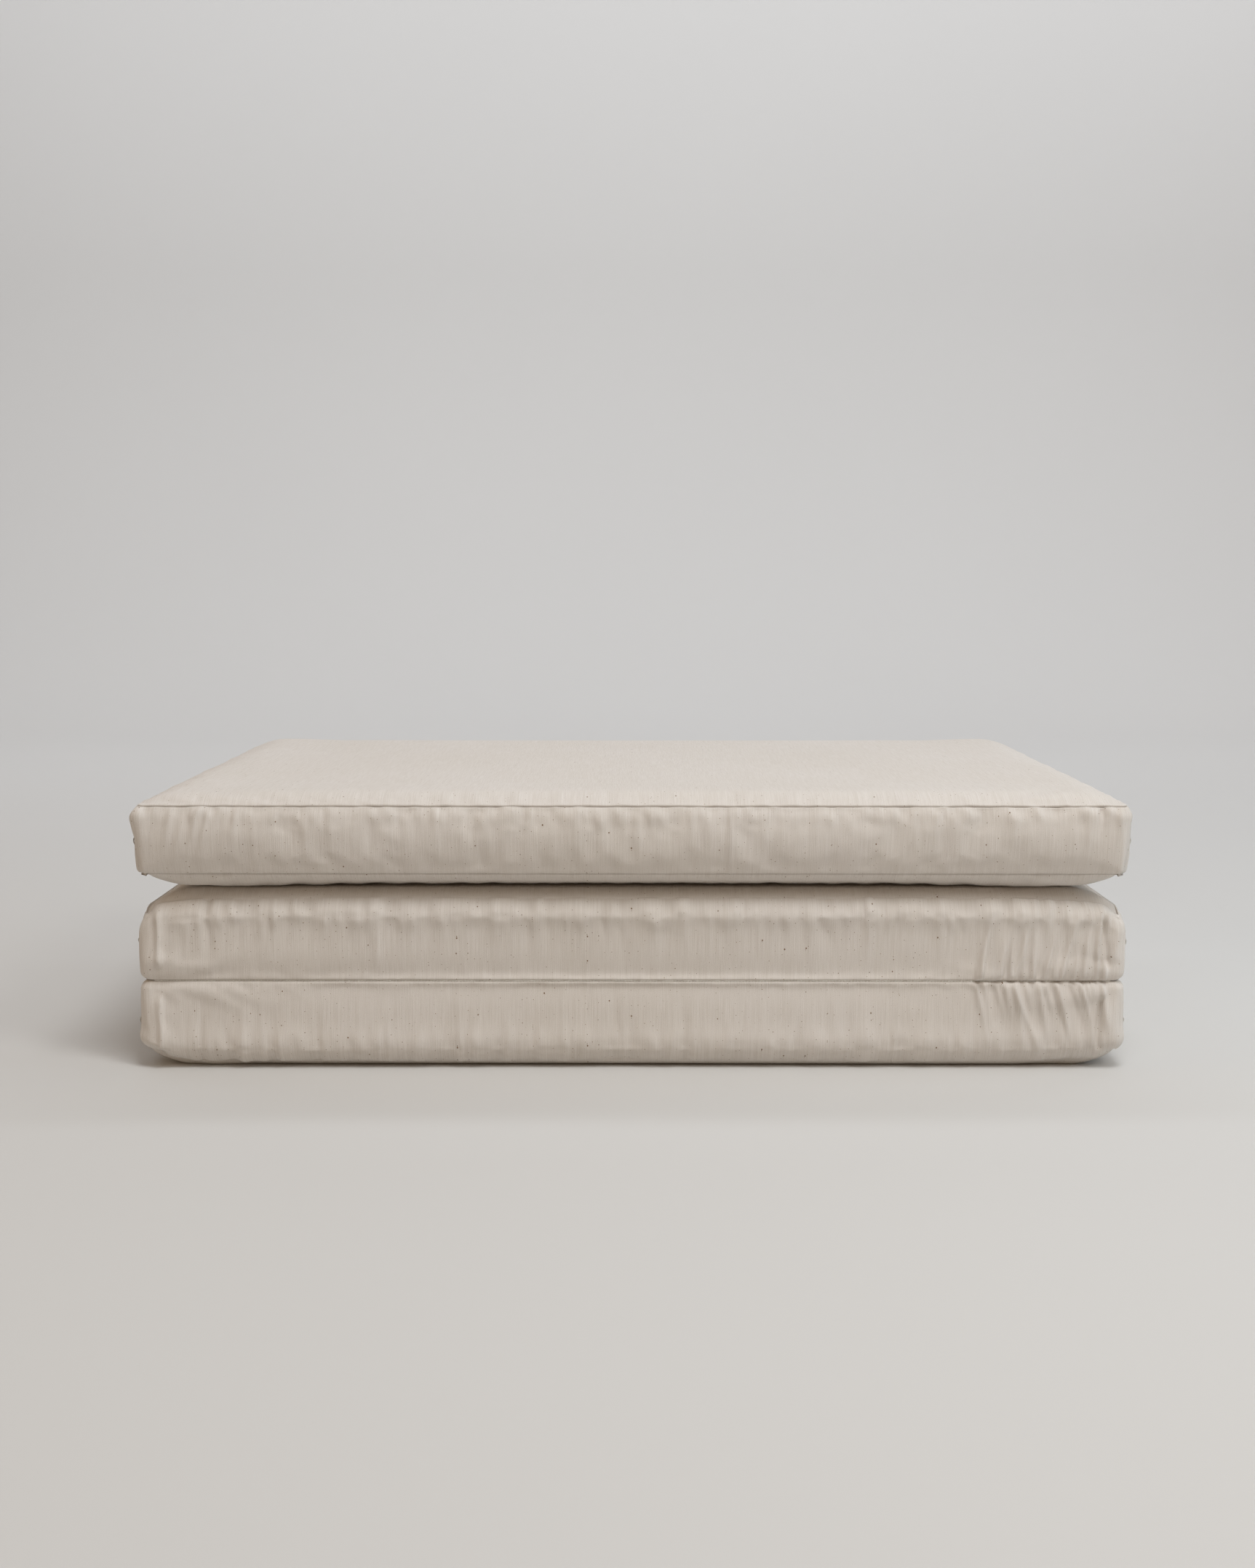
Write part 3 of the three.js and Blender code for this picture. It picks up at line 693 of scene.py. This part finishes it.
def cotton():
    """Unbleached plain weave: thick and thin threads along the cloth, a fine grain across them,
    slow changes of tone, brown flecks of seed in cells of random size, and painted shade at the seams."""
    material = bpy.data.materials.new("unbleached_cotton")
    material.use_nodes = True
    tree = material.node_tree
    link = tree.links.new
    shader = tree.nodes["Principled BSDF"]
    shader.inputs["Roughness"].default_value = 0.92
    shader.inputs["Specular IOR Level"].default_value = 0.18
    shader.inputs["Sheen Weight"].default_value = 0.12
    shader.inputs["Sheen Roughness"].default_value = 0.45
    weave = tree.nodes.new("ShaderNodeUVMap")
    weave.uv_map = "weave"

    def noise(scale, detail=3, roughness=0.6):
        """Noise over the cloth's own metres, with its own scale across and along the threads."""
        place = tree.nodes.new("ShaderNodeMapping")
        place.inputs["Scale"].default_value = (*scale, 1)
        texture = tree.nodes.new("ShaderNodeTexNoise")
        texture.inputs["Scale"].default_value = 1
        texture.inputs["Detail"].default_value = detail
        texture.inputs["Roughness"].default_value = roughness
        link(weave.outputs["UV"], place.inputs["Vector"])
        link(place.outputs["Vector"], texture.inputs["Vector"])
        return texture.outputs["Fac"]

    def tinted(colour, by, dark, light, low=0.3, high=0.7):
        """The colour multiplied by a ramp between two tints."""
        ramp_node = tree.nodes.new("ShaderNodeValToRGB")
        ramp_node.color_ramp.elements[0].position = low
        ramp_node.color_ramp.elements[0].color = (*dark, 1)
        ramp_node.color_ramp.elements[1].position = high
        ramp_node.color_ramp.elements[1].color = (*light, 1)
        mix = tree.nodes.new("ShaderNodeMix")
        mix.data_type = "RGBA"
        mix.blend_type = "MULTIPLY"
        mix.inputs[0].default_value = 1
        link(by, ramp_node.inputs["Fac"])
        link(ramp_node.outputs["Color"], mix.inputs[6])
        if isinstance(colour, tuple):
            mix.inputs[7].default_value = (*colour, 1)
        else:
            link(colour, mix.inputs[7])
        return mix.outputs[2]

    def flecks(cells, size, sparse):
        """1 inside small spots: nearer a cell's point than that cell's own random size."""
        place = tree.nodes.new("ShaderNodeMapping")
        place.inputs["Scale"].default_value = (cells, cells * 0.8, 1)
        cell = tree.nodes.new("ShaderNodeTexVoronoi")
        cell.voronoi_dimensions = "2D"
        cell.inputs["Scale"].default_value = 1
        split = tree.nodes.new("ShaderNodeSeparateColor")
        chance = tree.nodes.new("ShaderNodeMath")
        chance.operation = "POWER"
        chance.inputs[1].default_value = sparse
        radius = tree.nodes.new("ShaderNodeMath")
        radius.operation = "MULTIPLY"
        radius.inputs[1].default_value = size * cells
        inside = tree.nodes.new("ShaderNodeMath")
        inside.operation = "LESS_THAN"
        link(weave.outputs["UV"], place.inputs["Vector"])
        link(place.outputs["Vector"], cell.inputs["Vector"])
        link(cell.outputs["Color"], split.inputs["Color"])
        link(split.outputs["Red"], chance.inputs[0])
        link(chance.outputs["Value"], radius.inputs[0])
        link(cell.outputs["Distance"], inside.inputs[0])
        link(radius.outputs["Value"], inside.inputs[1])
        return inside.outputs["Value"]

    threads = noise((1300, 26), 2)
    slubs = noise((260, 7), 4)
    grain = noise((1900, 1900), 2)
    colour = tinted((0.830, 0.792, 0.756), noise((5, 4), 3), (0.97, 0.965, 0.95), (1.0, 1.0, 1.0))
    colour = tinted(colour, slubs, (0.965, 0.96, 0.95), (1.0, 1.0, 1.0))
    colour = tinted(colour, threads, (0.89, 0.875, 0.855), (1.0, 1.0, 1.0))
    colour = tinted(colour, grain, (0.87, 0.86, 0.845), (1.0, 1.0, 1.0))
    colour = tinted(colour, flecks(45, 0.0008, 5.0), (1.0, 1.0, 1.0), (0.34, 0.24, 0.16), 0.0, 1.0)
    colour = tinted(colour, flecks(90, 0.0005, 4.0), (1.0, 1.0, 1.0), (0.36, 0.26, 0.18), 0.0, 1.0)
    colour = tinted(colour, flecks(150, 0.00042, 3.0), (1.0, 1.0, 1.0), (0.46, 0.36, 0.27), 0.0, 1.0)
    # painted shade: the cloth is darkened along its seams, where the grooves hold shadow, by an attribute
    # set on each casing
    shade = tree.nodes.new("ShaderNodeAttribute")
    shade.attribute_name = "painted_seam_shade"
    colour = tinted(colour, shade.outputs["Fac"], (1.0, 1.0, 1.0), (0.34, 0.29, 0.24), 0.0, 1.0)
    link(colour, shader.inputs["Base Color"])
    height = tree.nodes.new("ShaderNodeMath")
    height.operation = "ADD"
    bump = tree.nodes.new("ShaderNodeBump")
    bump.inputs["Distance"].default_value = 0.00035
    bump.inputs["Strength"].default_value = 0.8
    link(threads, height.inputs[0])
    link(grain, height.inputs[1])
    link(height.outputs["Value"], bump.inputs["Height"])
    link(bump.outputs["Normal"], shader.inputs["Normal"])
    return material


def weave_map(piece, index, caps, shaped, x):
    """Metres along and across the threads at each corner of each face: round the loop on the
    walls, and straight up on the caps."""
    middle = shaped[index[len(x) // 2]]
    closed = np.concatenate([middle, middle[:1]])
    round_loop = np.append(0, np.cumsum(np.linalg.norm(np.diff(closed, axis=0), axis=1)))
    u, v = np.broadcast_arrays(x[:, None], round_loop[None])
    uv = [np.stack([u, v], axis=-1).reshape(-1, 2)[grid_faces(np.arange(u.size).reshape(u.shape))]]
    for cap in (caps[0], caps[1].T):
        flat = shaped[cap][..., 1:] + (2.0, 0.0)
        uv.append(flat.reshape(-1, 2)[grid_faces(np.arange(cap.size).reshape(cap.shape))])
    layer = piece.data.uv_layers.new(name="weave")
    corners = np.concatenate([corner.reshape(-1, 2) for corner in uv])
    layer.data.foreach_set("uv", corners.astype(np.float32).ravel())


# the first step beside a seam, its growth, the widest columns near the ends and in the middle,
# and the widest rows on the faces and on the walls
FINE_GRID = (0.0005, 0.28, 0.0017, 0.0023, 0.0090, 0.0024)
PINNED = 0.004            # the filling's move fades in over this distance from a seam
CORNER = 0.006            # puckers and grooves fade out this near to where seams meet
casing_cotton = cotton()
END_CLOTH = {}
for panel in PANELS:
    name = panel["name"]
    columns, along, up = grid = weave_grid(panel, *FINE_GRID)
    points, faces, index, caps = casing_surface(panel, *grid)
    shaped, (seam, hinge, end) = points[:, :3].copy(), points[:, 3:].T
    relief = pucker_relief(panel, shaped, index, caps, along, up)
    nearest = points[:, 3:].min(axis=1)
    loose = LOOSE_ON_FACES + (1 - LOOSE_ON_FACES) * ramp(nearest - 0.04, 0.08, 1)
    loose = loose * (1 - np.exp(-(nearest / PINNED) ** 2))
    shaped += loose[:, None] * filled_out(panel, grid, index, caps, len(shaped))
    groove = sum(depth * np.exp(-(away / SEAM_HALF_WIDTH) ** 2)
                 for depth, away in zip(SEAM_DEPTHS, (seam, hinge, end)))
    inward = 1 - 0.9 * np.exp(-(np.hypot(end, np.minimum(seam, hinge)) / CORNER) ** 2)
    relief = relief * inward - groove * inward
    shaped += outward(shaped, faces) * relief[:, None]
    top = 1.0 if name == "top" else panel["over"]["level"]
    shaped[:, 2] = np.clip(shaped[:, 2], panel["under"]["level"], top)
    END_CLOTH[name] = {side: shaped[cap.ravel()] for side, cap in zip(("left", "right"), caps)}
    cover = make_mesh(f"{name}_casing", shaped, faces)
    weave_map(cover, index, caps, shaped, column_line(panel, columns)[0])
    # painted shade along the seams' grooves: darkest at the long seams, fainter at the hinges and the end
    # seams, faded out where seams meet
    shade = sum(dark * np.exp(-(away / width) ** 2)
                for (dark, width), away in zip(SEAM_PAINTED_SHADES, (seam, hinge, end)))
    shade *= inward
    shades = cover.data.attributes.new("painted_seam_shade", "FLOAT", "POINT")
    shades.data.foreach_set("value", np.clip(shade, 0, 1).astype(np.float32))
    cover.data.materials.append(casing_cotton)
    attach(cover, f"{name}_panel")
    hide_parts(*[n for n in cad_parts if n.startswith((f"{name}_casing", f"{name}_band"))])

# ---------------------------------------------------------------- hinge seams
# Where two slabs are joined, the edges of both cloths are rolled together and run through with
# close small stitches. The roll is the hinge.
ROLL = (0.0012, 0.0016)   # half depth, half height
STITCH_PITCH = 0.0032
STITCH = (0.0010, 0.00038)  # half length, half thickness


def closed_tube(path, across, upright, sides):
    """A round section carried along a path, drawn to a point at both ends: at each step, a ring
    of centre + cosine times one half axis + sine times the other."""
    turn = np.linspace(0, 2 * np.pi, sides, endpoint=False)
    rings = (path[:, None] + across[:, None] * np.cos(turn)[None, :, None]
             + upright[:, None] * np.sin(turn)[None, :, None])
    index = np.arange(len(path) * sides).reshape(len(path), sides)
    return rings.reshape(-1, 3), grid_faces(np.concatenate([index, index[:, :1]], axis=1))


def seam_roll(x, y, z):
    """An ellipse carried along X, with a slow wander, a fine gather, and both ends closed."""
    steps = spaced(2 * x, 0.0003, 0.35, 0.0022)
    along = steps - x
    end = np.sqrt(1 - ramp(np.minimum(steps, steps[-1] - steps), 0.004, 1) ** 2) + 1e-4
    gather = end * (1 + 0.10 * waviness(along, 5, 0.030, 0.006, 12))
    path = np.stack([along, y + 0 * along, z + 0.0003 * waviness(along, 6)], axis=-1)
    across = np.stack([0 * along, -ROLL[0] * gather, 0 * along], axis=-1)
    upright = np.stack([0 * along, 0 * along, -ROLL[1] * gather], axis=-1)
    return path, closed_tube(path, across, upright, 14)


def stitch_row(path, front):
    """Small lozenges of thread along a path, each a ring-shaped section swelling and shrinking as
    the sine of its length, lying a little askew."""
    count = int((path[-1, 0] - path[0, 0] - 0.012) / STITCH_PITCH)
    place = path[0, 0] + 0.006 + STITCH_PITCH * np.arange(count)
    z = np.interp(place, path[:, 0], path[:, 2])
    t, turn = np.linspace(0, np.pi, 6), np.linspace(0, 2 * np.pi, 6, endpoint=False)
    size = STITCH[1] * (np.sin(t) + 0.02)
    x = place[:, None, None] - STITCH[0] * np.cos(t)[None, :, None] + 0 * turn
    y = front + size[None, :, None] * np.cos(turn) + 0 * x
    z = z[:, None, None] + size[None, :, None] * np.sin(turn) + 0.12 * (x - place[:, None, None])
    points = np.stack([x, y, z], axis=-1)
    index = np.arange(x.size).reshape(x.shape)
    index = np.concatenate([index, index[:, :, :1]], axis=2)
    corners = (index[:, :-1, :-1], index[:, :-1, 1:], index[:, 1:, 1:], index[:, 1:, :-1])
    return points.reshape(-1, 3), np.stack(corners, axis=-1).reshape(-1, 4)


def thread_material(name, colour, twist):
    """Twisted cotton thread: slanting bands round the strand, as colour and as bump."""
    material = bpy.data.materials.new(name)
    material.use_nodes = True
    tree = material.node_tree
    shader = tree.nodes["Principled BSDF"]
    shader.inputs["Roughness"].default_value = 0.8
    shader.inputs["Specular IOR Level"].default_value = 0.25
    place = tree.nodes.new("ShaderNodeTexCoord")
    slant = tree.nodes.new("ShaderNodeMapping")
    slant.inputs["Rotation"].default_value = (0.5, 0.6, 0.6)
    bands = tree.nodes.new("ShaderNodeTexWave")
    bands.inputs["Scale"].default_value = twist
    bands.inputs["Distortion"].default_value = 1.5
    bands.inputs["Detail"].default_value = 2
    ramp_node = tree.nodes.new("ShaderNodeValToRGB")
    ramp_node.color_ramp.elements[0].color = (*[c * 0.72 for c in colour], 1)
    ramp_node.color_ramp.elements[1].color = (*colour, 1)
    bump = tree.nodes.new("ShaderNodeBump")
    bump.inputs["Distance"].default_value = 0.0002
    tree.links.new(place.outputs["Object"], slant.inputs["Vector"])
    tree.links.new(slant.outputs["Vector"], bands.inputs["Vector"])
    tree.links.new(bands.outputs["Fac"], ramp_node.inputs["Fac"])
    tree.links.new(ramp_node.outputs["Color"], shader.inputs["Base Color"])
    tree.links.new(bands.outputs["Fac"], bump.inputs["Height"])
    tree.links.new(bump.outputs["Normal"], shader.inputs["Normal"])
    return material


hinge_thread = thread_material("hinge_thread_cotton", (0.70, 0.66, 0.58), 900)
# cotton that is too narrow here to show its threads, so only a fine grain
roll_cotton = fibre_material("rolled_cotton", (0.79, 0.765, 0.71), 900, 0.0003)
for end, lower, upper in (("front", PANELS[0], PANELS[1]), ("back", PANELS[1], PANELS[2])):
    way = 1 if end == "front" else -1
    z = 0.5 * (lower["over"]["level"] + upper["under"]["level"])
    y = lower[end] + way * (HINGE_TUCK + ROLL[0] + 0.0004)
    path, roll = seam_roll(lower["half"] - 0.010, y, z)
    stitches = stitch_row(path, y - way * ROLL[0] * 1.02)
    for name, shape, material, slot in (
            (f"{end}_hinge_seam", roll, roll_cotton, "cotton_cover"),
            (f"{end}_hinge_stitches", stitches, hinge_thread, "hinge_thread")):
        piece = make_mesh(name, *shape)
        piece.data.materials.append(material)
        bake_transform(piece)
    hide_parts(f"{end}_hinge_stitching")

# ---------------------------------------------------------------- tacks
# Twine is passed through the end bands into the filling and knotted outside, three times at each
# end of each slab, so that the batting can't creep. Each is an overhand knot with two cut ends.
TWINE = 0.00065           # half thickness
KNOT = 0.00095            # size of the knot's loops


def strand(path, reference, thickness, sides=8):
    """Twine along a path: a round section square to it, with its ends drawn to a point."""
    tangent = np.gradient(path, axis=0)
    tangent /= np.linalg.norm(tangent, axis=1, keepdims=True)
    across = np.cross(tangent, reference)
    across /= np.linalg.norm(across, axis=1, keepdims=True)
    share = np.linspace(0, 1, len(path))[:, None]
    size = thickness * np.sqrt(1 - ramp(np.minimum(share, 1 - share), 0.03, 1) ** 2 + 1e-4)
    return closed_tube(path, across * size, np.cross(across, tangent) * size, sides)


def tack_knot(x, y, z, out, draw):
    """An overhand knot, the path (-1.2 sin 3t, sin t + 2 sin 2t, cos t - 2 cos 2t) cut open, turned
    at random on the end band, with its two tails falling away and a shank through the cloth."""
    t = np.linspace(0.35, 2 * np.pi + 0.15, 110)
    loops = [-np.sin(3 * t) * 1.2, np.sin(t) + 2 * np.sin(2 * t), np.cos(t) - 2 * np.cos(2 * t)]
    knot = np.stack(loops, axis=-1)
    tilt = draw.uniform(0, 2 * np.pi)
    turned = knot @ np.array([[1, 0, 0], [0, np.cos(tilt), np.sin(tilt)], [0, -np.sin(tilt), np.cos(tilt)]])
    shapes = [strand(turned * KNOT, turned + 1e-3, TWINE)]
    for way in (-1, 1):
        s = np.linspace(0, 1, 16)
        fall = draw.uniform(0.004, 0.008)
        aside = draw.uniform(0.002, 0.005)
        tail = np.stack([0.0012 + 0.0016 * np.sin(np.pi * s), way * (0.0005 + aside * s),
                         -fall * s ** 1.5], axis=-1)
        shapes.append(strand(tail, np.array([0.0, 1.0, 0.3]), TWINE * 0.9))
    s = np.linspace(0, 1, 8)
    shank = np.stack([0.001 - 0.009 * s, 0 * s, 0 * s], axis=-1)
    shapes.append(strand(shank, np.array([0.0, 0.0, 1.0]), TWINE))
    points = np.concatenate([shape[0] for shape in shapes]) * (out, 1, 1) + (x, y, z)
    starts = np.cumsum([0] + [len(shape[0]) for shape in shapes])
    faces = np.concatenate([shape[1] + start for shape, start in zip(shapes, starts)])
    return points, faces if out > 0 else faces[:, ::-1]


twine = thread_material("tack_twine_cotton", (0.80, 0.76, 0.68), 1400)
draw = np.random.default_rng(21)
for panel in PANELS:
    for side, out in (("left", -1), ("right", 1)):
        for number in (1, 2, 3):
            node = f"{panel['name']}_tack_{side}_{number}"
            low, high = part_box(node)
            y, z = 0.5 * (low.y + high.y), 0.5 * (low.z + high.z)
            cloth = END_CLOTH[panel["name"]][side]
            x = cloth[np.argmin(np.hypot(cloth[:, 1] - y, cloth[:, 2] - z)), 0] + out * 1.4 * KNOT
            knot = make_mesh(f"{panel['name']}_knot_{side}_{number}", *tack_knot(x, y, z, out, draw))
            knot.data.materials.append(twine)
            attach(knot, f"{panel['name']}_panel")
            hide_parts(node)
